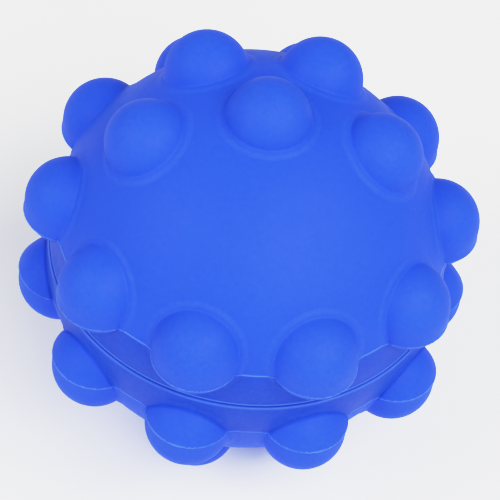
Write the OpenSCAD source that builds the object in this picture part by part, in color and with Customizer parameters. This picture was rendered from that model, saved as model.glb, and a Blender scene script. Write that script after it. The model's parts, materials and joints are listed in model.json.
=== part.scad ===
// Push-and-pop stress ball: two moulded half shells bonded at the equator,
// each with a pole bubble, four shoulder bubbles and a ring of rim bubbles.
// Origin at the centre of the ball, +Z along the mould axis through both poles,
// -Y towards the bare patch of the upper half. Directions on the ball are a
// latitude above the equator and an azimuth counted from -Y towards +X.

/* [Ball] */
// Outer diameter of the plain ball between the bubbles
body_d = 59.2; // [58:0.2:64]
// Wall thickness of the half shells
shell_wall = 1.8; // [1.5:0.1:2.2]

/* [Bubbles] */
// Outer diameter of one bubble
bubble_d = 12.6; // [11:0.1:12.8]
// Depth of a bubble's centre below the ball's surface
bubble_sink = 1; // [0.8:0.1:1.5]
// Wall thickness of a bubble
bubble_wall = 1.2; // [0.8:0.1:1.6]
// Gap between a bubble's rim and its hole, where the thin hinge web flexes
web_gap = 0.15; // [0.1:0.05:0.25]

/* [Bubble layout] */
// Number of rim bubbles round each half
rim_count = 10; // [8:1:10]
// Latitude of the rim bubbles
rim_lat = 18; // [17.5:0.1:19]
// Latitude of the two shoulder bubbles beside the bare patch
side_lat = 54.3; // [53:0.1:55]
// Azimuth of the two shoulder bubbles beside the bare patch
side_az = 87.5; // [85:0.5:90]
// Latitude of the two shoulder bubbles behind the pole
back_lat = 58.6; // [57:0.1:59]
// Azimuth of the two shoulder bubbles behind the pole
back_az = 146.3; // [144:0.1:147]
// Whole rim pitches by which the lower half is turned when it is bonded on
lower_pitches = 3; // [0:1:9]
// Small turning error left in the bond, in degrees
lower_slip = 0.8; // [0:0.1:1.5]

/* [Seam] */
// Width of the small chamfer on each half's outer lip
lip_chamfer = 0.35; // [0.2:0.05:0.5]
// Step from the inner wall out to the lower half's tongue
tongue_step = 0.2; // [0.15:0.05:0.3]
// Radial thickness of the lower half's tongue
tongue_t = 0.6; // [0.5:0.05:0.7]
// Height of the tongue above the seam
tongue_h = 1.1; // [0.8:0.1:1.2]
// Thickness of the adhesive film round the tongue
glue_t = 0.2; // [0.15:0.05:0.25]

/* [Hidden] */
body_r = body_d / 2;
inner_r = body_r - shell_wall;
bubble_r = bubble_d / 2;
bubble_c = body_r - bubble_sink;
hole_r = bubble_r + web_gap;
rim_pitch = 360 / rim_count;
lower_turn = lower_slip - lower_pitches * rim_pitch;
tongue_in = inner_r + tongue_step;
tongue_r = tongue_in + tongue_t;
groove_r = tongue_r + glue_t;
groove_h = tongue_h + glue_t;
past = 1;
shell_blue = [0.25, 0.42, 0.94];
bubble_blue = [0.22, 0.38, 0.91];
glue_blue = [0.16, 0.3, 0.75];
$fn = 96;

// One entry per bubble of a half: name, latitude, azimuth
SHOULDERS = [
    ["shoulder_bubble_1", side_lat, side_az],
    ["shoulder_bubble_2", back_lat, back_az],
    ["shoulder_bubble_3", back_lat, -back_az],
    ["shoulder_bubble_4", side_lat, -side_az]
];
RIM = [for (i = [1:rim_count]) [str("rim_bubble_", i), rim_lat, (i - 0.5) * rim_pitch]];
BUBBLES = concat([["pole_bubble", 90, 0]], SHOULDERS, RIM);
HALVES = ["upper", "lower"];

// Turns a piece built on +Z to a direction on the ball
module aim(lat, az) {
    rotate([90 - lat, 0, az]) children();
}

// Places a piece built for the upper half on the named half
module on_half(half) {
    if (half == "upper") children();
    else rotate([0, 0, lower_turn]) mirror([0, 0, 1]) children();
}

// Outline of half a shell wall, right of the axis and above the seam
module wall_outline() {
    difference() {
        circle(r = body_r);
        circle(r = inner_r);
        translate([-2 * body_r, -body_r]) square([2 * body_r, 2 * body_r]);
        translate([-body_r, -2 * body_r]) square([2 * body_r, 2 * body_r]);
        translate([body_r, 0]) rotate(45) square(lip_chamfer * sqrt(2), center = true);
    }
}

// Round holes that the bubbles of one half sit in
module bubble_holes() {
    for (b = BUBBLES) aim(b[1], b[2]) cylinder(r = hole_r, h = body_r + past);
}

// Upper half: plain wall with a groove inside its lip
module upper_half_shell() {
    color(shell_blue) difference() {
        rotate_extrude() difference() {
            wall_outline();
            square([groove_r, groove_h]);
        }
        bubble_holes();
    }
}

// Lower half: the same wall turned over, with a tongue standing up from its lip
module lower_half_shell() {
    color(shell_blue) union() {
        on_half("lower") difference() {
            rotate_extrude() wall_outline();
            bubble_holes();
        }
        rotate_extrude() translate([tongue_in, -glue_t]) square([tongue_t, tongue_h + glue_t]);
    }
}

// Adhesive film that fills the groove over and outside the tongue
module seam_adhesive() {
    color(glue_blue) rotate_extrude() difference() {
        translate([tongue_in, 0]) square([groove_r - tongue_in, groove_h]);
        translate([tongue_in - past, -past]) square([tongue_t + past, tongue_h + past]);
    }
}

// One bubble on +Z: a hollow half round cap, open towards the inside of the ball
module bubble() {
    translate([0, 0, bubble_c]) rotate_extrude() intersection() {
        difference() {
            circle(r = bubble_r);
            circle(r = bubble_r - bubble_wall);
        }
        square(bubble_r);
    }
}

upper_half_shell();
lower_half_shell();
seam_adhesive();
for (half = HALVES) for (b = BUBBLES) {
    color(bubble_blue) on_half(half) aim(b[1], b[2]) bubble();
}
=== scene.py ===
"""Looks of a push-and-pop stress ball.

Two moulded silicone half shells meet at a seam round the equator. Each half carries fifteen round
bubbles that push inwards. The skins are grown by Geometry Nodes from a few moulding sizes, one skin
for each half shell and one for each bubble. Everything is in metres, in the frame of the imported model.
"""

import json
import logging
import math
from dataclasses import dataclass, field
from enum import Enum

import bmesh
import bpy
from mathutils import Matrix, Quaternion, Vector

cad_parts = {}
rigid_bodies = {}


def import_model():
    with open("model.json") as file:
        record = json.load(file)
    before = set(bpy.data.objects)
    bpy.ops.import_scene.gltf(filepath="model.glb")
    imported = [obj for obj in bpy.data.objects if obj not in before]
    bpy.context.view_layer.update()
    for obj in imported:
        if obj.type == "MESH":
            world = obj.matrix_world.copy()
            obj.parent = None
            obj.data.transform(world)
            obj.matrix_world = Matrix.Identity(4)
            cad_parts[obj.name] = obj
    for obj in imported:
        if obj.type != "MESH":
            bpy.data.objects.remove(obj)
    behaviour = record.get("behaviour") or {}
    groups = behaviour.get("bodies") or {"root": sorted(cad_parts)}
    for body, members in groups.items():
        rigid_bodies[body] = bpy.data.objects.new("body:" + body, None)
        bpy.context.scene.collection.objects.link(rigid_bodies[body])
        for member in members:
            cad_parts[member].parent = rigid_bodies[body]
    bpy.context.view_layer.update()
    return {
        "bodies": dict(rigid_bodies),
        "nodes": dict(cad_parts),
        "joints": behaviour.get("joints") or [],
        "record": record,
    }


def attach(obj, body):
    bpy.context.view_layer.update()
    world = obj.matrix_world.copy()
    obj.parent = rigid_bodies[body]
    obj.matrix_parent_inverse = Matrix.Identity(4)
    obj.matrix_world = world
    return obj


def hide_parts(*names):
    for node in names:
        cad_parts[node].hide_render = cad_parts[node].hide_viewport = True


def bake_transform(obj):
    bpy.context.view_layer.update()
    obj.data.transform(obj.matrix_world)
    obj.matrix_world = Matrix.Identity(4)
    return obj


MM = 0.001
LEAST_LENGTH = 1e-6
CUT_TOLERANCE = 1e-7
# Mask of the mould lines and lip edges that get a painted highlight.
EDGE_LAYER = "pale_edge"
# Mask of the seam band that gets painted shade and a glossier skin.
BAND_LAYER = "smooth_band"
# Mask of the bubbles' frosty skin with painted highlight on the tip and painted light on the flange.
FROST_HIGHLIGHT_LAYER = "frost"
WALL_GROUP = "wall"
Colour = tuple[float, float, float, float]
log = logging.getLogger("stress_ball")


class Half(Enum):
    """The two halves of the ball, with the sign of their height."""

    UPPER = 1
    LOWER = -1

    @property
    def label(self) -> str:
        """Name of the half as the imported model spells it."""
        return self.name.lower()


@dataclass(frozen=True)
class Mould:
    """Sizes that both half shells are moulded to."""

    ball_r: float = 29.6 * MM
    bubble_r: float = 6.3 * MM
    bubble_centre: float = 28.6 * MM
    fillet_r: float = 0.35 * MM
    flange: float = 0.22 * MM
    parting_height: float = 6.65 * MM
    collar_angle: float = math.radians(15.0)
    tuck_angle: float = math.radians(1.5)
    tuck_depth: float = 0.12 * MM
    wall: float = 1.5 * MM

    @property
    def inner_r(self) -> float:
        """Radius of the hollow inside the ball."""
        return self.ball_r - self.wall

    @property
    def bubble_tip(self) -> float:
        """Distance from the ball's centre to the tip of a bubble."""
        return self.bubble_centre + self.bubble_r

    def inputs(self) -> dict[str, object]:
        """Sizes that every skin's tree takes, by input name."""
        return {
            "Ball radius": self.ball_r, "Collar angle": self.collar_angle, "Tuck angle": self.tuck_angle,
            "Tuck depth": self.tuck_depth, "Parting height": self.parting_height,
        }


@dataclass(frozen=True)
class Lip:
    """Rounded edge of one half shell at the seam, and the lean of the band that ends in it."""

    inset: float
    height: float
    draft: float = 0.0
    bead_height: float = 0.0
    # Strength of the painted highlight on the lip's rounded edge.
    paleness: float = 0.55
    gap: float = 0.025 * MM
    face: float = 0.8 * MM


@dataclass(frozen=True)
class Ridge:
    """Thin raised line that the mould leaves where its plates meet."""

    height: float = 0.13 * MM
    half_width: float = 0.24 * MM
    snap: float = 0.03 * MM
    on_line: float = 0.003 * MM


# ---------------------------------------------------------------- node trees


class Wire:
    """A number or a vector inside a node tree, with arithmetic that adds Math nodes."""

    def __init__(self, tree: bpy.types.NodeTree, socket: bpy.types.NodeSocket) -> None:
        """Keeps the tree and the socket that the value comes out of."""
        self.tree = tree
        self.socket = socket

    def _math(self, operation: str, *others: "Wire | float") -> "Wire":
        """Adds one Math node.

        Args:
            operation: Blender's name for the operation.
            others: The values after this one, in the node's order.

        Returns:
            The node's result.
        """
        node = self.tree.nodes.new("ShaderNodeMath")
        node.operation = operation
        for socket, value in zip(node.inputs, (self, *others)):
            plug(value, socket)
        return Wire(self.tree, node.outputs[0])

    def __add__(self, other: "Wire | float") -> "Wire":
        """Sum."""
        return self._math("ADD", other)

    def __sub__(self, other: "Wire | float") -> "Wire":
        """Difference."""
        return self._math("SUBTRACT", other)

    def __mul__(self, other: "Wire | float") -> "Wire":
        """Product."""
        return self._math("MULTIPLY", other)

    def __truediv__(self, other: "Wire | float") -> "Wire":
        """Quotient."""
        return self._math("DIVIDE", other)

    def reversed_from(self, whole: float) -> "Wire":
        """A whole less this value."""
        return self._math("MULTIPLY", -1.0)._math("ADD", whole)

    def power(self, exponent: float) -> "Wire":
        """This value raised to an exponent."""
        return self._math("POWER", exponent)

    def root(self) -> "Wire":
        """Square root."""
        return self._math("SQRT")

    def size(self) -> "Wire":
        """Value without its sign."""
        return self._math("ABSOLUTE")

    def sine(self) -> "Wire":
        """Sine of an angle in radians."""
        return self._math("SINE")

    def cosine(self) -> "Wire":
        """Cosine of an angle in radians."""
        return self._math("COSINE")

    def arc_cosine(self) -> "Wire":
        """Angle whose cosine this is."""
        return self._math("ARCCOSINE")

    def arc_sine(self) -> "Wire":
        """Angle whose sine this is."""
        return self._math("ARCSINE")

    def angle_over(self, along: "Wire | float") -> "Wire":
        """Angle of a slope with this rise over a run."""
        return self._math("ARCTAN2", along)

    def largest(self, other: "Wire | float") -> "Wire":
        """Larger of the two."""
        return self._math("MAXIMUM", other)

    def smallest(self, other: "Wire | float") -> "Wire":
        """Smaller of the two."""
        return self._math("MINIMUM", other)

    def below(self, other: "Wire | float") -> "Wire":
        """One where this value is the smaller, else zero."""
        return self._math("LESS_THAN", other)

    def share_between(self, low: "Wire | float", high: "Wire | float") -> "Wire":
        """How far this value has gone from low to high, held between zero and one."""
        return ((self - low) / (high - low)).largest(0.0).smallest(1.0)


def plug(value: "Wire | float | Vector | tuple", socket: bpy.types.NodeSocket) -> None:
    """Feeds a socket from a wire, or sets it to a plain value.

    Args:
        value: What goes in.
        socket: The socket that takes it.
    """
    if isinstance(value, Wire):
        value.tree.links.new(value.socket, socket)
    else:
        socket.default_value = value


def mixed(low: Wire, high: Wire, share: Wire) -> Wire:
    """Value a share of the way from low to high."""
    return low + (high - low) * share


def eased(share: Wire) -> Wire:
    """Same share with a soft start and a soft end."""
    return share * share * (share * -2.0 + 3.0)


class Tree:
    """Builder for one node group, for geometry or for shading."""

    def __init__(self, name: str, kind: str) -> None:
        """Starts an empty group with its own input and output nodes.

        Args:
            name: What the group is called.
            kind: Blender's name for the kind of tree.
        """
        self.group = bpy.data.node_groups.new(name, kind)
        self.inlet = self.group.nodes.new("NodeGroupInput")
        self.outlet = self.group.nodes.new("NodeGroupOutput")

    def takes(self, name: str, kind: str = "Float", start: float | None = None) -> Wire:
        """Adds a named input.

        Args:
            name: What the input is called.
            kind: Socket kind without its prefix.
            start: Value it has until it is set.

        Returns:
            The input's value inside the tree.
        """
        item = self.group.interface.new_socket(name, in_out="INPUT", socket_type="NodeSocket" + kind)
        if start is not None:
            item.default_value = start
        return Wire(self.group, self.inlet.outputs[name])

    def gives(self, name: str, kind: str, value: Wire) -> None:
        """Adds a named output and feeds it."""
        self.group.interface.new_socket(name, in_out="OUTPUT", socket_type="NodeSocket" + kind)
        self.group.links.new(value.socket, self.outlet.inputs[name])

    def step(self, kind: str, values: dict[str, object], result: str | int = 0, **settings: object) -> Wire:
        """Adds any node.

        Args:
            kind: Blender's name for the node.
            values: What goes into its sockets, by socket name.
            result: The output wanted, by name or place.
            settings: The node's own settings.

        Returns:
            The wanted output.
        """
        node = self.group.nodes.new(kind)
        for name, value in settings.items():
            setattr(node, name, value)
        for name, value in values.items():
            plug(value, next(s for s in node.inputs if s.name == name and s.enabled))
        outputs = [s for s in node.outputs if s.enabled]
        found = outputs[result] if isinstance(result, int) else next(s for s in outputs if s.name == result)
        return Wire(self.group, found)

    def grid(self, columns: Wire, rows: Wire) -> Wire:
        """Flat grid from -1 to 1 both ways."""
        sizes = {"Size X": 2.0, "Size Y": 2.0, "Vertices X": columns, "Vertices Y": rows}
        return self.step("GeometryNodeMeshGrid", sizes, "Mesh")

    def place(self) -> Wire:
        """Where a point is at this stage."""
        return self.step("GeometryNodeInputPosition", {})

    def moved(self, mesh: Wire, place: Wire) -> Wire:
        """Mesh with its points moved to the given places."""
        return self.step("GeometryNodeSetPosition", {"Geometry": mesh, "Position": place})

    def marked(self, mesh: Wire, name: str, value: Wire) -> Wire:
        """Mesh that carries a number at each point, under the given name."""
        values = {"Geometry": mesh, "Name": name, "Value": value}
        return self.step("GeometryNodeStoreNamedAttribute", values, data_type="FLOAT", domain="POINT")

    def vector(self, x: "Wire | float", y: "Wire | float", z: "Wire | float") -> Wire:
        """Vector from its three parts."""
        return self.step("ShaderNodeCombineXYZ", {"X": x, "Y": y, "Z": z})

    def parts(self, vector: Wire) -> tuple[Wire, Wire, Wire]:
        """Splits a vector.

        Args:
            vector: The vector.

        Returns:
            Its x, y and z.
        """
        node = self.group.nodes.new("ShaderNodeSeparateXYZ")
        self.group.links.new(vector.socket, node.inputs[0])
        x, y, z = (Wire(self.group, socket) for socket in node.outputs)
        return x, y, z

    def noise(self, place: Wire, scale: Wire, detail: float, roughness: float) -> Wire:
        """Smooth noise between 0 and 1."""
        values = {"Vector": place, "Scale": scale, "Detail": detail, "Roughness": roughness}
        return self.step("ShaderNodeTexNoise", values)

    def vector_math(self, operation: str, *values: "Wire | float") -> Wire:
        """Adds one Vector Math node.

        Args:
            operation: Blender's name for the operation.
            values: Its values in order; a scale factor comes second.

        Returns:
            The node's vector or number.
        """
        node = self.group.nodes.new("ShaderNodeVectorMath")
        node.operation = operation
        for socket, value in zip([s for s in node.inputs if s.enabled], values):
            plug(value, socket)
        return Wire(self.group, next(s for s in node.outputs if s.enabled))


def grow(name: str, tree: Tree, values: dict[str, object]) -> bpy.types.Object:
    """Runs a Geometry Nodes tree once and keeps its result as a plain mesh.

    Args:
        name: Name of the finished piece.
        tree: The tree that makes it.
        values: Its inputs by name.

    Returns:
        An object at the origin whose mesh holds the result.
    """
    carrier = bpy.data.objects.new(name + "_carrier", bpy.data.meshes.new(name + "_carrier"))
    bpy.context.scene.collection.objects.link(carrier)
    modifier = carrier.modifiers.new("grow", "NODES")
    modifier.node_group = tree.group
    for item in tree.group.interface.items_tree:
        if item.in_out == "INPUT" and item.name in values:
            modifier[item.identifier] = values[item.name]
    graph = bpy.context.evaluated_depsgraph_get()
    mesh = bpy.data.meshes.new_from_object(carrier.evaluated_get(graph), depsgraph=graph)
    bpy.data.objects.remove(carrier)
    mesh.name = name
    piece = bpy.data.objects.new(name, mesh)
    bpy.context.scene.collection.objects.link(piece)
    return piece


def ending(tree: Tree, mesh: Wire, finish: Wire) -> None:
    """Ends a geometry tree with smooth shading, real geometry and the material.

    Args:
        tree: The tree being built.
        mesh: Its finished shape.
        finish: The material.
    """
    smooth = tree.step("GeometryNodeSetShadeSmooth", {"Geometry": mesh})
    real = tree.step("GeometryNodeRealizeInstances", {"Geometry": smooth})
    dressed = tree.step("GeometryNodeSetMaterial", {"Geometry": real, "Material": finish})
    tree.gives("Geometry", "Geometry", dressed)


def tucked(angle: Wire, collar: Wire, tuck_angle: Wire, tuck_depth: Wire, outward: float) -> Wire:
    """How far the skin sinks past the circle where a bubble's skin and the ball's skin meet.

    Both skins run on a little way under each other, so that no gap opens between them.

    Args:
        angle: Angle from the bubble's axis.
        collar: Angle of the circle where the skins meet.
        tuck_angle: How far past it a skin runs on.
        tuck_depth: How deep its hidden edge lies.
        outward: 1 where the skin sinks outside the circle, -1 where it sinks inside it.

    Returns:
        The depth below the ball's surface.
    """
    past = ((angle - collar) * outward / tuck_angle).largest(0.0)
    return tuck_depth * past * past


def drafted(tree: Tree, place: Wire, draft: Wire, parting: Wire) -> Wire:
    """Leans the band between the parting line and the seam inwards, so that it leaves the mould.

    Args:
        tree: The tree being built.
        place: Where a point of the plain ball is.
        draft: How far in the wall stands at the seam.
        parting: Height of the parting line.

    Returns:
        Where the point goes.
    """
    x, y, z = tree.parts(place)
    across = (x * x + y * y).root().largest(LEAST_LENGTH)
    share = (z.size() / parting).reversed_from(1.0).largest(0.0)
    shrink = (draft * share * share / across).reversed_from(1.0)
    return tree.vector(x * shrink, y * shrink, z)


class BubbleTree:
    """Geometry Nodes tree that grows the skin of one bubble, its fillet and its collar.

    A square grid is wrapped onto a disc, so that the tip has no pole. From the tip outwards the
    disc follows the round bubble, then the tight fillet at its foot, then a low flange that falls
    away to the ball.
    """

    dome_share = 0.6
    fillet_share = 0.72
    tiny = 1e-9
    # Where and how strongly the bubble's frosty skin, painted highlight and painted flange light show.
    frost_start = 0.15
    dome_frost = 0.55
    flange_rise = (0.75, 0.8)
    flange_fall = (0.85, 0.9)
    flange_frost = 0.7

    def __init__(self) -> None:
        """Builds the tree."""
        self.tree = Tree("Bubble skin", "GeometryNodeTree")
        tree = self.tree
        self.ball = tree.takes("Ball radius")
        self.bubble = tree.takes("Bubble radius")
        self.centre = tree.takes("Bubble centre")
        self.fillet = tree.takes("Fillet radius")
        self.flange = tree.takes("Flange height")
        self.collar = tree.takes("Collar angle")
        self.tuck_angle = tree.takes("Tuck angle")
        self.tuck_depth = tree.takes("Tuck depth")
        self.draw_height = tree.takes("Draw height")
        self.draw = tree.takes("Draw")
        self.draft = tree.takes("Draft")
        self.parting = tree.takes("Parting height")
        self.side = tree.takes("Side")
        self.aim = tree.takes("Aim", "Vector")
        self.detail = tree.takes("Detail", "Int", 97)
        self.finish = tree.takes("Material", "Material")
        self._build()

    def _build(self) -> None:
        """Joins grid, outline, placing and mould draw."""
        tree = self.tree
        grid = tree.grid(self.detail, self.detail)
        x, y, _ = tree.parts(tree.place())
        run = x.size().largest(y.size())
        reach = (x * x + y * y).root().largest(self.tiny)
        out, up = self._outline(run)
        local = tree.vector(x / reach * out, y / reach * out, up)
        turn = tree.step("FunctionNodeAlignRotationToVector", {"Vector": self.aim}, axis="Z")
        placed = tree.step("FunctionNodeRotateVector", {"Vector": local, "Rotation": turn})
        drawn = drafted(tree, self._mould_draw(placed, run), self.draft, self.parting)
        # The mask paints highlight on the bubble's tip and light on its flange ring, together with its
        # frosty skin.
        frosted_and_lit = tree.marked(grid, FROST_HIGHLIGHT_LAYER, self._frost(run))
        ending(tree, tree.moved(frosted_and_lit, drawn), self.finish)

    def _frost(self, run: Wire) -> Wire:
        """Marks the frosty skin with painted highlight on the round of the bubble, strongest towards its
        tip, and painted light on the flange ring at its foot.

        Args:
            run: How far along the outline a point is, from 0 at the tip to 1 at the hidden edge.

        Returns:
            The mask.
        """
        dome = run.share_between(self.frost_start, self.dome_share).reversed_from(1.0)
        rise = run.share_between(*self.flange_rise)
        fall = run.share_between(*self.flange_fall).reversed_from(1.0)
        return (dome * self.dome_frost).largest(rise * fall * self.flange_frost)

    def _outline(self, run: Wire) -> tuple[Wire, Wire]:
        """Outline of the skin in a plane through the bubble's axis.

        Args:
            run: How far along the outline a point is, from 0 at the tip to 1 at the hidden edge.

        Returns:
            Distance from the axis, and height above the ball's centre.
        """
        to_fillet = self.ball + self.flange + self.fillet
        across = (to_fillet * to_fillet + self.centre * self.centre
                  - (self.bubble + self.fillet) * (self.bubble + self.fillet))
        foot = (across / (to_fillet * self.centre * 2.0)).arc_cosine()
        fillet_out = to_fillet * foot.sine()
        fillet_up = to_fillet * foot.cosine()
        leave = fillet_out.angle_over(fillet_up - self.centre)

        round_angle = leave * run.share_between(0.0, self.dome_share)
        round_out = self.bubble * round_angle.sine()
        round_up = self.centre + self.bubble * round_angle.cosine()

        hollow_angle = mixed(leave, foot, run.share_between(self.dome_share, self.fillet_share))
        hollow_out = fillet_out - self.fillet * hollow_angle.sine()
        hollow_up = fillet_up - self.fillet * hollow_angle.cosine()

        flat_angle = mixed(foot, self.collar + self.tuck_angle, run.share_between(self.fillet_share, 1.0))
        sunk = tucked(flat_angle, self.collar, self.tuck_angle, self.tuck_depth, 1.0)
        raised = self.flange * eased(flat_angle.share_between(foot, self.collar)).reversed_from(1.0)
        flat_out = (self.ball + raised - sunk) * flat_angle.sine()
        flat_up = (self.ball + raised - sunk) * flat_angle.cosine()

        on_dome = run.below(self.dome_share)
        on_fillet = run.below(self.fillet_share)
        out = mixed(mixed(flat_out, hollow_out, on_fillet), round_out, on_dome)
        up = mixed(mixed(flat_up, hollow_up, on_fillet), round_up, on_dome)
        return out, up

    def _mould_draw(self, place: Wire, run: Wire) -> Wire:
        """Straightens the side of a rim bubble that faces the seam, so that it leaves the mould.

        From the bubble's widest level down to the parting line its side is upright, and past the
        line it is a slightly larger round.

        Args:
            place: Where a point of the plain bubble is.
            run: How far along the outline it is.

        Returns:
            Where the point goes.
        """
        tree = self.tree
        middle = tree.vector_math("SCALE", self.aim, self.centre)
        spoke = tree.vector_math("SUBTRACT", place, middle)
        length = tree.vector_math("LENGTH", spoke).largest(self.tiny)
        _, _, rise = tree.parts(spoke)
        drop = (rise * self.side / length).smallest(0.0)
        upright = (drop * drop).reversed_from(1.0).root()
        ratio = self.draw_height / self.bubble
        most = (ratio * ratio + 1.0).root()
        swell = upright.power(-1.0).smallest(most) - 1.0
        fade = run.share_between(self.dome_share, self.fillet_share).reversed_from(1.0)
        scaled = tree.vector_math("SCALE", spoke, swell * fade * self.draw + 1.0)
        return tree.vector_math("ADD", middle, scaled)


class ShellTree:
    """Geometry Nodes tree that grows the outer skin of one half shell.

    A grid of meridians runs from the pole to the seam, round the lip and into the joint. Where a
    bubble sits, the skin tucks under the bubble's collar and is cut away.
    """

    sphere_share = 0.9
    lip_share = 0.97
    thin_wall = 0.2
    thinning = 6.0
    deepest_tuck = 2.0

    def __init__(self) -> None:
        """Builds the tree."""
        self.tree = Tree("Half shell skin", "GeometryNodeTree")
        tree = self.tree
        self.ball = tree.takes("Ball radius")
        self.pole_angle = tree.takes("Pole angle")
        self.collar = tree.takes("Collar angle")
        self.tuck_angle = tree.takes("Tuck angle")
        self.tuck_depth = tree.takes("Tuck depth")
        self.lip_inset = tree.takes("Lip inset")
        self.lip_height = tree.takes("Lip height")
        self.lip_gap = tree.takes("Lip gap")
        self.lip_face = tree.takes("Lip face")
        self.lip_paleness = tree.takes("Lip paleness")
        self.draft = tree.takes("Draft")
        self.parting = tree.takes("Parting height")
        self.side = tree.takes("Side")
        self.seats = tree.takes("Bubble seats", "Object")
        self.columns = tree.takes("Columns", "Int", 481)
        self.rows = tree.takes("Rows", "Int", 111)
        self.finish = tree.takes("Material", "Material")
        self._build()

    def _build(self) -> None:
        """Joins grid, outline, bubble holes and welding."""
        tree = self.tree
        grid = tree.grid(self.columns, self.rows)
        x, y, _ = tree.parts(tree.place())
        run = y.reversed_from(1.0) / 2.0
        out, up, wall = self._outline(run)
        turn = x * math.pi
        round_trip = tree.vector(turn.sine() * out, turn.cosine() * out * -1.0, up * self.side)
        marked = tree.marked(tree.marked(grid, EDGE_LAYER, self._lip_edge(run)), WALL_GROUP, wall)
        holed = self._seat_bubbles(tree.moved(marked, round_trip))
        leaning = tree.moved(holed, drafted(tree, tree.place(), self.draft, self.parting))
        welded = tree.step("GeometryNodeMergeByDistance", {"Geometry": leaning, "Distance": LEAST_LENGTH})
        facing = tree.step("GeometryNodeFlipFaces", {"Mesh": welded, "Selection": self._is_lower()})
        ending(tree, facing, self.finish)

    def _is_lower(self) -> Wire:
        """True on the lower half, whose faces the turning over leaves inside out."""
        return self.tree.step("FunctionNodeCompare", {"A": self.side, "B": 0.0}, operation="LESS_THAN")

    def _lip_edge(self, run: Wire) -> Wire:
        """Marks the middle of the rounded lip for a painted highlight, with a fade both ways.

        Args:
            run: How far along the outline a point is, from 0 near the pole to 1 inside the joint.

        Returns:
            The mask.
        """
        middle = (self.sphere_share + self.lip_share) / 2.0
        reach = (self.lip_share - self.sphere_share) / 2.0
        return ((run - middle).size() / reach).smallest(1.0).reversed_from(1.0) * self.lip_paleness

    def _outline(self, run: Wire) -> tuple[Wire, Wire, Wire]:
        """Outline of the half shell in a plane through the poles.

        Args:
            run: How far along the outline a point is, from 0 near the pole to 1 inside the joint.

        Returns:
            Distance from the axis, height above the seam plane, and share of the full wall.
        """
        lip_top = self.lip_gap + self.lip_height
        last = (lip_top / self.ball).arc_cosine()
        angle = mixed(self.pole_angle, last, run.share_between(0.0, self.sphere_share))
        ball_out = self.ball * angle.sine()
        ball_up = self.ball * angle.cosine()
        edge_out = self.ball * last.sine()

        bend = run.share_between(self.sphere_share, self.lip_share) * (math.pi / 2.0)
        lip_out = edge_out - self.lip_inset + self.lip_inset * bend.cosine()
        lip_up = lip_top - self.lip_height * bend.sine()

        inward = run.share_between(self.lip_share, 1.0)
        face_out = edge_out - self.lip_inset - self.lip_face * inward

        on_ball = run.below(self.sphere_share)
        on_lip = run.below(self.lip_share)
        out = mixed(mixed(face_out, lip_out, on_lip), ball_out, on_ball)
        up = mixed(mixed(self.lip_gap, lip_up, on_lip), ball_up, on_ball)
        full = (ball_up / (lip_top * self.thinning)).smallest(1.0).largest(self.thin_wall)
        wall = full * on_ball + on_ball.reversed_from(1.0) * self.thin_wall
        return out, up, wall

    def _seat_bubbles(self, mesh: Wire) -> Wire:
        """Tucks the skin under every bubble's collar and cuts away what lies inside it.

        Args:
            mesh: The whole skin.

        Returns:
            The skin with a round hole at each bubble.
        """
        tree = self.tree
        seats = tree.step("GeometryNodeObjectInfo", {"Object": self.seats}, "Geometry")
        near = tree.step("GeometryNodeProximity", {"Geometry": seats}, "Distance", target_element="POINTS")
        angle = (near / (self.ball * 2.0)).smallest(1.0).arc_sine() * 2.0
        sunk = tucked(angle, self.collar, self.tuck_angle, self.tuck_depth, -1.0)
        sunk = sunk.smallest(self.tuck_depth * self.deepest_tuck)
        inward = tree.vector_math("SCALE", tree.vector_math("NORMALIZE", tree.place()), sunk * -1.0)
        moved = tree.step("GeometryNodeSetPosition", {"Geometry": mesh, "Offset": inward})
        inside = tree.step("FunctionNodeCompare", {"A": angle, "B": self.collar - self.tuck_angle},
                           operation="LESS_THAN")
        cut = {"Geometry": moved, "Selection": inside}
        return tree.step("GeometryNodeDeleteGeometry", cut, domain="FACE")


# ---------------------------------------------------------------- finishes


class GrainGroup:
    """Shader group for the fine skin that a blasted mould leaves on silicone."""

    coarseness = 0.22
    fine_part = 0.6
    mask_range = (0.35, 0.65)

    def __init__(self) -> None:
        """Builds the group."""
        self.tree = Tree("Mould grain", "ShaderNodeTree")
        tree = self.tree
        place = tree.takes("Place", "Vector")
        scale = tree.takes("Grain per metre")
        fine = tree.noise(place, scale, detail=2.0, roughness=0.6)
        coarse = tree.noise(place, scale * self.coarseness, detail=3.0, roughness=0.5)
        height = fine * self.fine_part + coarse * (1.0 - self.fine_part)
        tree.gives("Height", "Float", height)
        tree.gives("Mask", "Float", height.share_between(*self.mask_range))


class BloomGroup:
    """Shader group for the slight uneven bloom and handling marks on the skin."""

    rub_fineness = 7.0
    bloom_range = (0.35, 0.7)
    rub_range = (0.45, 0.75)

    def __init__(self) -> None:
        """Builds the group."""
        self.tree = Tree("Silicone bloom", "ShaderNodeTree")
        tree = self.tree
        place = tree.takes("Place", "Vector")
        scale = tree.takes("Patches per metre")
        patches = tree.noise(place, scale, detail=3.0, roughness=0.55)
        rubbed = tree.noise(place, scale * self.rub_fineness, detail=4.0, roughness=0.6)
        tree.gives("Bloom", "Float", patches.share_between(*self.bloom_range))
        tree.gives("Rub", "Float", rubbed.share_between(*self.rub_range))


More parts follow.
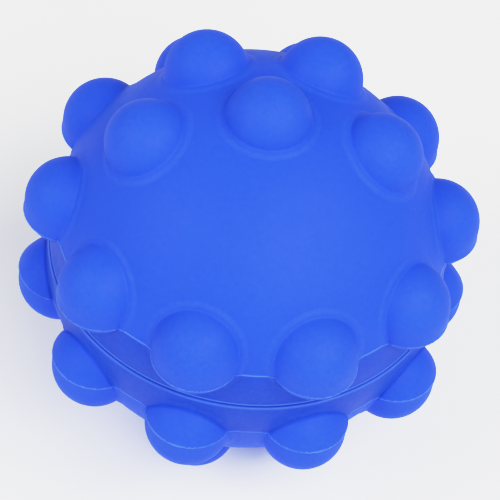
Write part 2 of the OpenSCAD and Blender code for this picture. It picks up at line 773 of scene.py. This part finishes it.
@dataclass(frozen=True)
class SiliconeFinish:
    """Matte moulded silicone: painted highlights on the mould lines, painted shade on the smoother band at
    the seam, and a frosty skin with painted highlight on the bubbles.
    """

    name: str
    colour: Colour
    # Paler colour of the random bloom and grain specks, also used as painted highlight on the bubbles.
    bloom: Colour
    # Lighter colour of the mould lines and lip edges, a painted highlight.
    edge: Colour
    # Darker colour of the seam band, painted shade.
    band: Colour
    sheen: Colour = (0.35, 0.75, 1.0, 1.0)
    sheen_weight: float = 0.12
    sheen_roughness: float = 0.35
    shine: float = 0.14
    edge_shine: float = 0.4
    roughness: float = 0.52
    rub_roughness: float = 0.1
    band_gloss: float = 0.1
    edge_gloss: float = 0.22
    bloom_share: float = 0.12
    speck_share: float = 0.32
    frost_share: float = 0.6
    edge_share: float = 0.9
    grain_depth: float = 0.05 * MM
    grain_strength: float = 0.6
    grain_per_metre: float = 6500.0
    patches_per_metre: float = 55.0

    def material(self, grain: GrainGroup, bloom: BloomGroup) -> bpy.types.Material:
        """Builds the node material.

        Args:
            grain: Group that gives the fine surface.
            bloom: Group that gives the uneven colour.

        Returns:
            The finished material.
        """
        made = bpy.data.materials.new(self.name)
        made.use_nodes = True
        nodes, links = made.node_tree.nodes, made.node_tree.links
        shader = nodes["Principled BSDF"]
        place = nodes.new("ShaderNodeTexCoord").outputs["Object"]
        grained = self._group(made, grain.tree, place, {"Grain per metre": self.grain_per_metre})
        bloomed = self._group(made, bloom.tree, place, {"Patches per metre": self.patches_per_metre})

        band, edge = self._layer(made, BAND_LAYER), self._layer(made, EDGE_LAYER)
        specks = Wire(made.node_tree, grained.outputs["Mask"])
        haze = Wire(made.node_tree, bloomed.outputs["Bloom"])
        # Painted shade: the seam band between the bubbles takes a darker colour.
        banded = self._mix(made, band, 1.0, self.colour, self.band)
        hazy = self._mix(made, haze, self.bloom_share, banded, self.bloom)
        specked = self._mix(made, specks, self.speck_share, hazy, self.bloom)
        # Painted highlight: the bubble's tip and flange ring lighten towards the bloom colour, speckled by
        # the grain.
        frost = self._layer(made, FROST_HIGHLIGHT_LAYER) * specks * band.reversed_from(1.0)
        frosted_and_lit = self._mix(made, frost, self.frost_share, specked, self.bloom)
        # Painted highlight: mould lines and lip edges take a lighter colour.
        highlighted = self._mix(made, edge, self.edge_share, frosted_and_lit, self.edge)
        links.new(highlighted, shader.inputs["Base Color"])

        rough = Wire(made.node_tree, bloomed.outputs["Rub"]) * self.rub_roughness + self.roughness
        plug(rough - band * self.band_gloss - edge * self.edge_gloss, shader.inputs["Roughness"])
        bump = nodes.new("ShaderNodeBump")
        bump.inputs["Distance"].default_value = self.grain_depth
        bump.inputs["Strength"].default_value = self.grain_strength
        links.new(grained.outputs["Height"], bump.inputs["Height"])
        links.new(bump.outputs["Normal"], shader.inputs["Normal"])
        plug(edge * self.edge_shine + self.shine, shader.inputs["Specular IOR Level"])
        shader.inputs["Sheen Weight"].default_value = self.sheen_weight
        shader.inputs["Sheen Roughness"].default_value = self.sheen_roughness
        shader.inputs["Sheen Tint"].default_value = self.sheen
        return made

    @staticmethod
    def _group(made: bpy.types.Material, tree: Tree, place: bpy.types.NodeSocket,
               values: dict[str, float]) -> bpy.types.ShaderNode:
        """Places a shader group in the material.

        Args:
            made: The material.
            tree: The group's tree.
            place: The place on the piece.
            values: The material's own values for the group, by input name.

        Returns:
            The group's node in the material.
        """
        node = made.node_tree.nodes.new("ShaderNodeGroup")
        node.node_tree = tree.group
        made.node_tree.links.new(place, node.inputs["Place"])
        for name, value in values.items():
            node.inputs[name].default_value = value
        return node

    @staticmethod
    def _layer(made: bpy.types.Material, name: str) -> Wire:
        """Reads a mask that a piece's mesh carries.

        Args:
            made: The material.
            name: Name of the mask.

        Returns:
            Its value.
        """
        node = made.node_tree.nodes.new("ShaderNodeAttribute")
        node.attribute_name = name
        return Wire(made.node_tree, node.outputs["Fac"])

    @staticmethod
    def _mix(made: bpy.types.Material, mask: Wire, share: float,
             low: "bpy.types.NodeSocket | Colour", high: Colour) -> bpy.types.NodeSocket:
        """Mixes two colours by a mask.

        Args:
            made: The material.
            mask: Where the second colour shows.
            share: How strongly it shows there.
            low: First colour, a socket or a plain colour.
            high: Second colour.

        Returns:
            The mixed colour's socket.
        """
        node = made.node_tree.nodes.new("ShaderNodeMix")
        node.data_type = "RGBA"
        plug(mask * share, node.inputs["Factor"])
        first = next(s for s in node.inputs if s.name == "A" and s.type == "RGBA")
        second = next(s for s in node.inputs if s.name == "B" and s.type == "RGBA")
        if isinstance(low, bpy.types.NodeSocket):
            made.node_tree.links.new(low, first)
        else:
            first.default_value = low
        second.default_value = high
        return next(s for s in node.outputs if s.type == "RGBA")


BALL_FINISH = SiliconeFinish(
    "blue_silicone",
    colour=(0.023, 0.098, 0.72, 1.0),
    # Paler colour for bloom and specks, also the painted highlight on the bubbles.
    bloom=(0.048, 0.16, 0.7, 1.0),
    # Lighter colour of the mould lines, a painted highlight.
    edge=(0.11, 0.29, 0.98, 1.0),
    # Darker colour painted on the seam band as painted shade.
    band=(0.012, 0.061, 0.47, 1.0),
)
SEAM_FINISH = SiliconeFinish(
    "seam_silicone",
    colour=(0.02, 0.06, 0.4, 1.0),
    bloom=(0.04, 0.1, 0.45, 1.0),
    edge=(0.04, 0.1, 0.5, 1.0),
    band=(0.02, 0.06, 0.4, 1.0),
    roughness=0.35,
    grain_per_metre=3000.0,
    patches_per_metre=150.0,
)


# ---------------------------------------------------------------- mesh work


def cut_level(sheet: bmesh.types.BMesh, height: float, snap: float) -> None:
    """Cuts a skin along a level plane, after moving the points that lie close to it onto it.

    Args:
        sheet: The skin.
        height: Height of the plane.
        snap: How near to the plane a point has to be to move onto it.
    """
    for point in sheet.verts:
        if abs(point.co.z - height) < snap:
            point.co.z = height
    everything = [*sheet.verts, *sheet.edges, *sheet.faces]
    place, level = (0.0, 0.0, height), (0.0, 0.0, 1.0)
    bmesh.ops.bisect_plane(sheet, geom=everything, dist=CUT_TOLERANCE, plane_co=place, plane_no=level)


def raise_parting_line(mesh: bpy.types.Mesh, height: float, ridge: Ridge) -> None:
    """Raises the mould's parting line as a thin ridge round a skin, and marks it for a painted highlight.

    Args:
        mesh: The open outer skin.
        height: Height of the line above the seam plane.
        ridge: Sizes of the ridge.
    """
    sheet = bmesh.new()
    sheet.from_mesh(mesh)
    layer = sheet.verts.layers.float.get(EDGE_LAYER) or sheet.verts.layers.float.new(EDGE_LAYER)
    for level in (height, height - ridge.half_width, height + ridge.half_width):
        cut_level(sheet, level, ridge.snap)
    sheet.normal_update()
    for point in sheet.verts:
        if abs(point.co.z - height) < ridge.on_line:
            point.co += point.normal * ridge.height
            point[layer] = 1.0
    sheet.to_mesh(mesh)
    sheet.free()


def mark_band(mesh: bpy.types.Mesh, mould: Mould, fade: float = 0.4 * MM, clear: float = 0.6 * MM) -> None:
    """Marks the band of the ball between the parting line and the seam, bubbles left out, for painted shade
    and a glossier skin.

    Args:
        mesh: The finished skin.
        mould: Sizes of the ball.
        fade: Width over which the mark comes up.
        clear: Height above the ball at which nothing is marked any more.
    """
    layer = mesh.attributes.new(BAND_LAYER, "FLOAT", "POINT")
    for point, mark in zip(mesh.vertices, layer.data):
        inside = (mould.parting_height - abs(point.co.z)) / fade
        low = (mould.ball_r + clear - point.co.length) / fade
        mark.value = max(0.0, min(1.0, inside, low))


def close_under(mesh: bpy.types.Mesh, aim: Vector, depth: float) -> None:
    """Closes a bubble's skin into a solid with a side wall and a level underside.

    Args:
        mesh: The open skin, with one round edge.
        aim: Direction of the bubble.
        depth: Distance of the underside from the ball's centre, along that direction.
    """
    solid = bmesh.new()
    solid.from_mesh(mesh)
    rim = [edge for edge in solid.edges if edge.is_boundary]
    grown = bmesh.ops.extrude_edge_only(solid, edges=rim)["geom"]
    lower = [item for item in grown if isinstance(item, bmesh.types.BMVert)]
    for point in lower:
        point.co += aim * (depth - point.co.dot(aim))
    under = [item for item in grown if isinstance(item, bmesh.types.BMEdge) and item.is_boundary]
    bmesh.ops.holes_fill(solid, edges=under, sides=0)
    bmesh.ops.recalc_face_normals(solid, faces=solid.faces)
    for edge in rim + under:
        if edge.is_valid:
            edge.smooth = False
    solid.to_mesh(mesh)
    solid.free()


def apply_modifiers(piece: bpy.types.Object) -> None:
    """Turns a piece and its modifiers into a plain mesh.

    Args:
        piece: The piece.
    """
    graph = bpy.context.evaluated_depsgraph_get()
    made = bpy.data.meshes.new_from_object(piece.evaluated_get(graph), depsgraph=graph)
    piece.modifiers.clear()
    piece.data = made


# ---------------------------------------------------------------- sub-assemblies


@dataclass
class Bubble:
    """One bubble of the ball: its skin, which stands in for the imported bubble."""

    name: str
    aim: Vector
    half: Half
    mould: Mould
    lip: Lip
    ridge: Ridge
    fixed_height: float = 28.9 * MM
    rim_word: str = "rim"

    @property
    def is_rim(self) -> bool:
        """Whether it is one of the bubbles that the parting line crosses."""
        return self.rim_word in self.name

    def build(self, tree: BubbleTree, finish: bpy.types.Material) -> bpy.types.Object:
        """Grows the skin, raises its parting line and closes it.

        Args:
            tree: The tree that grows bubble skins.
            finish: Its material.

        Returns:
            The finished piece.
        """
        mould = self.mould
        across = mould.bubble_centre * abs(self.aim.z) - mould.parting_height
        piece = grow(self.name + "_skin", tree.tree, mould.inputs() | {
            "Bubble radius": mould.bubble_r, "Bubble centre": mould.bubble_centre,
            "Fillet radius": mould.fillet_r, "Flange height": mould.flange,
            "Draw height": across if self.is_rim else 0.0, "Draw": float(self.is_rim),
            "Draft": self.lip.draft, "Side": float(self.half.value), "Aim": self.aim, "Material": finish,
        })
        if self.is_rim:
            raise_parting_line(piece.data, mould.parting_height * self.half.value, self.ridge)
        close_under(piece.data, self.aim, mould.inner_r * math.cos(mould.collar_angle))
        mark_band(piece.data, mould)
        return piece

    def join(self, piece: bpy.types.Object) -> None:
        """Bakes the skin's placing into its mesh and hides the imported bubble.

        Args:
            piece: The finished skin.
        """
        self.aim * self.fixed_height
        self.aim * self.mould.bubble_tip
        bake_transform(piece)
        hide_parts(self.name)


@dataclass
class HalfShell:
    """One moulded half of the ball: its shell skin and its bubbles."""

    half: Half
    mould: Mould
    lip: Lip
    ridge: Ridge
    pole_overlap: float = 1.5
    bubbles: list[Bubble] = field(default_factory=list)

    @property
    def node(self) -> str:
        """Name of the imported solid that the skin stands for."""
        return f"{self.half.label}_half_shell"

    def seats(self) -> bpy.types.Object:
        """Makes an object with one point on the ball for each bubble."""
        mesh = bpy.data.meshes.new(self.node + "_seats")
        mesh.from_pydata([bubble.aim * self.mould.ball_r for bubble in self.bubbles], [], [])
        made = bpy.data.objects.new(self.node + "_seats", mesh)
        bpy.context.scene.collection.objects.link(made)
        return made

    def build(self, tree: ShellTree, finish: bpy.types.Material) -> bpy.types.Object:
        """Grows the shell's skin, raises its parting line and gives it a wall.

        Args:
            tree: The tree that grows shell skins.
            finish: Its material.

        Returns:
            The finished piece.
        """
        mould, lip = self.mould, self.lip
        seats = self.seats()
        piece = grow(self.node + "_skin", tree.tree, mould.inputs() | {
            "Pole angle": mould.collar_angle - mould.tuck_angle * self.pole_overlap,
            "Lip inset": lip.inset, "Lip height": lip.height, "Lip gap": lip.gap, "Lip face": lip.face,
            "Lip paleness": lip.paleness, "Draft": lip.draft,
            "Side": float(self.half.value), "Bubble seats": seats, "Material": finish,
        })
        bpy.data.objects.remove(seats)
        raise_parting_line(piece.data, mould.parting_height * self.half.value, self.ridge)
        if lip.bead_height:
            raise_parting_line(piece.data, lip.bead_height * self.half.value, self.ridge)
        self._give_wall(piece)
        mark_band(piece.data, mould)
        return piece

    def _give_wall(self, piece: bpy.types.Object) -> None:
        """Thickens the skin inwards to the moulded wall, thinner at the lip.

        Args:
            piece: The skin.
        """
        group = piece.vertex_groups.new(name=WALL_GROUP)
        shares = piece.data.attributes[WALL_GROUP].data
        for index, share in enumerate(shares):
            group.add([index], share.value, "REPLACE")
        wall = piece.modifiers.new("wall", "SOLIDIFY")
        wall.thickness = self.mould.wall
        wall.offset = -1.0
        wall.vertex_group = WALL_GROUP
        apply_modifiers(piece)

    def join(self, piece: bpy.types.Object) -> None:
        """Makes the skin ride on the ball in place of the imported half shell.

        Args:
            piece: The finished skin.
        """
        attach(piece, "ball")
        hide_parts(self.node)


@dataclass
class Ball:
    """The whole ball: two halves with their bubbles, and the adhesive in the seam."""

    frame: dict
    mould: Mould = Mould()
    ridge: Ridge = Ridge()
    upper_lip: Lip = Lip(inset=0.12 * MM, height=0.1 * MM, draft=0.46 * MM, bead_height=0.27 * MM)
    lower_lip: Lip = Lip(inset=0.26 * MM, height=0.42 * MM)

    def halves(self) -> list[HalfShell]:
        """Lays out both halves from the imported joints, whose axes point inwards."""
        made = [HalfShell(Half.UPPER, self.mould, self.upper_lip, self.ridge),
                HalfShell(Half.LOWER, self.mould, self.lower_lip, self.ridge)]
        for joint in self.frame["joints"]:
            aim = -Vector(joint["axis"]).normalized()
            shell = made[0] if joint["child"].startswith(Half.UPPER.label) else made[1]
            shell.bubbles.append(Bubble(joint["child"], aim, shell.half, self.mould, shell.lip, self.ridge))
        return made

    def build(self) -> None:
        """Builds, dresses and joins every piece."""
        grain, bloom = GrainGroup(), BloomGroup()
        silicone = BALL_FINISH.material(grain, bloom)
        adhesive = SEAM_FINISH.material(grain, bloom)
        shell_tree, bubble_tree = ShellTree(), BubbleTree()
        for shell in self.halves():
            skin = shell.build(shell_tree, silicone)
            shell.join(skin)
            log.info("built %s with %d faces", skin.name, len(skin.data.polygons))
            for bubble in shell.bubbles:
                dome = bubble.build(bubble_tree, silicone)
                bubble.join(dome)
                log.info("built %s with %d faces", dome.name, len(dome.data.polygons))
        seam = self.frame["nodes"]["seam_adhesive"]
        seam.data.materials.clear()
        seam.data.materials.append(adhesive)
        log.info("dressed %s", seam.name)


@dataclass(frozen=True)
class SoftBox:
    """One square soft light that points at the ball; its azimuth runs from the front to the right."""

    name: str
    watts: float
    azimuth: float
    elevation: float
    size: float = 0.5
    away: float = 0.9


@dataclass
class Studio:
    """Plain pale floor, soft lights and the camera."""

    mould: Mould = Mould()
    boxes: tuple[SoftBox, ...] = (
        SoftBox("left_box", 3.2, -70.0, 38.0),
        SoftBox("right_box", 3.0, 70.0, 50.0),
        SoftBox("front_box", 4.0, 20.0, 48.0),
        SoftBox("back_box", 0.4, -160.0, 30.0),
    )
    room_light: float = 0.2
    floor_glow: float = 0.06
    white_level: float = 2.0
    tone: tuple[tuple[float, float], ...] = (
        (0.0, 0.0), (0.1, 0.1), (0.2, 0.21), (0.3, 0.38), (0.45, 0.66),
        (0.6, 0.775), (0.8, 0.855), (1.0, 0.885), (1.3, 0.93), (2.0, 1.0),
    )
    camera_distance: float = 466.6 * MM
    camera_azimuth: float = -8.0
    camera_elevation: float = 50.05
    camera_roll: float = 9.5
    camera_lens: float = 225.9
    aim_point: Vector = field(default_factory=lambda: Vector((0.44, -0.19, -0.11)) * MM)
    camera_reach: tuple[float, float] = (0.01, 20.0)
    floor_size: float = 6.0
    floor_colour: Colour = (0.93, 0.93, 0.93, 1.0)
    floor_roughness: float = 0.9
    white: Colour = (1.0, 1.0, 1.0, 1.0)

    def build(self) -> None:
        """Sets up everything round the ball."""
        self._floor()
        self._world()
        for box in self.boxes:
            self._light(box)
        self._camera()
        self._tone()
        log.info("built the studio")

    def _tone(self) -> None:
        """Gives the picture a gentle tone curve that holds back the bright end."""
        settings = bpy.context.scene.view_settings
        settings.view_transform = "Standard"
        settings.use_curve_mapping = True
        mapping = settings.curve_mapping
        mapping.use_clip = False
        mapping.white_level = (self.white_level,) * 3
        curve = mapping.curves[3]
        while len(curve.points) < len(self.tone):
            curve.points.new(0.5, 0.5)
        for point, (light, shown) in zip(curve.points, self.tone):
            point.location = (light / self.white_level, shown)
        mapping.update()

    def _floor(self) -> None:
        """Lays the floor just under the lowest bubble."""
        mesh = bpy.data.meshes.new("floor")
        reach, low = self.floor_size / 2.0, -self.mould.bubble_tip
        corners = [(-reach, -reach, low), (reach, -reach, low), (reach, reach, low), (-reach, reach, low)]
        mesh.from_pydata(corners, [], [(0, 1, 2, 3)])
        floor = bpy.data.objects.new("floor", mesh)
        bpy.context.scene.collection.objects.link(floor)
        paint = bpy.data.materials.new("floor_paint")
        paint.use_nodes = True
        shader = paint.node_tree.nodes["Principled BSDF"]
        shader.inputs["Base Color"].default_value = self.floor_colour
        shader.inputs["Roughness"].default_value = self.floor_roughness
        shader.inputs["Emission Color"].default_value = self.white
        shader.inputs["Emission Strength"].default_value = self.floor_glow
        mesh.materials.append(paint)

    def _world(self) -> None:
        """Fills the room with even white light."""
        world = bpy.data.worlds.new("room")
        world.use_nodes = True
        background = world.node_tree.nodes["Background"]
        background.inputs["Color"].default_value = self.white
        background.inputs["Strength"].default_value = self.room_light
        bpy.context.scene.world = world

    @staticmethod
    def _direction(azimuth: float, elevation: float) -> Vector:
        """Direction from the ball, with azimuth counted from the front towards the right."""
        turn, rise = math.radians(azimuth), math.radians(elevation)
        return Vector((math.sin(turn) * math.cos(rise), -math.cos(turn) * math.cos(rise), math.sin(rise)))

    def _light(self, box: SoftBox) -> None:
        """Hangs one soft light.

        Args:
            box: The light.
        """
        lamp = bpy.data.lights.new(box.name, "AREA")
        lamp.energy = box.watts
        lamp.size = box.size
        placed = bpy.data.objects.new(box.name, lamp)
        direction = self._direction(box.azimuth, box.elevation)
        placed.location = direction * box.away
        placed.rotation_mode = "QUATERNION"
        placed.rotation_quaternion = (-direction).to_track_quat("-Z", "Y")
        bpy.context.scene.collection.objects.link(placed)

    def _camera(self) -> None:
        """Sets up the camera, rolled so that the pole leans right."""
        lens = bpy.data.cameras.new("camera")
        lens.lens = self.camera_lens
        lens.clip_start, lens.clip_end = self.camera_reach
        camera = bpy.data.objects.new("camera", lens)
        direction = self._direction(self.camera_azimuth, self.camera_elevation)
        camera.location = direction * self.camera_distance
        view = (self.aim_point - camera.location).normalized()
        level = view.to_track_quat("-Z", "Y")
        roll = Quaternion(view, math.radians(-self.camera_roll))
        camera.rotation_mode = "QUATERNION"
        camera.rotation_quaternion = roll @ level
        bpy.context.scene.collection.objects.link(camera)
        bpy.context.scene.camera = camera


def main() -> None:
    """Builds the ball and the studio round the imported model."""
    logging.basicConfig(level=logging.INFO, format="%(name)s: %(message)s")
    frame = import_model()
    Ball(frame).build()
    Studio().build()


if __name__ == "__main__":
    main()
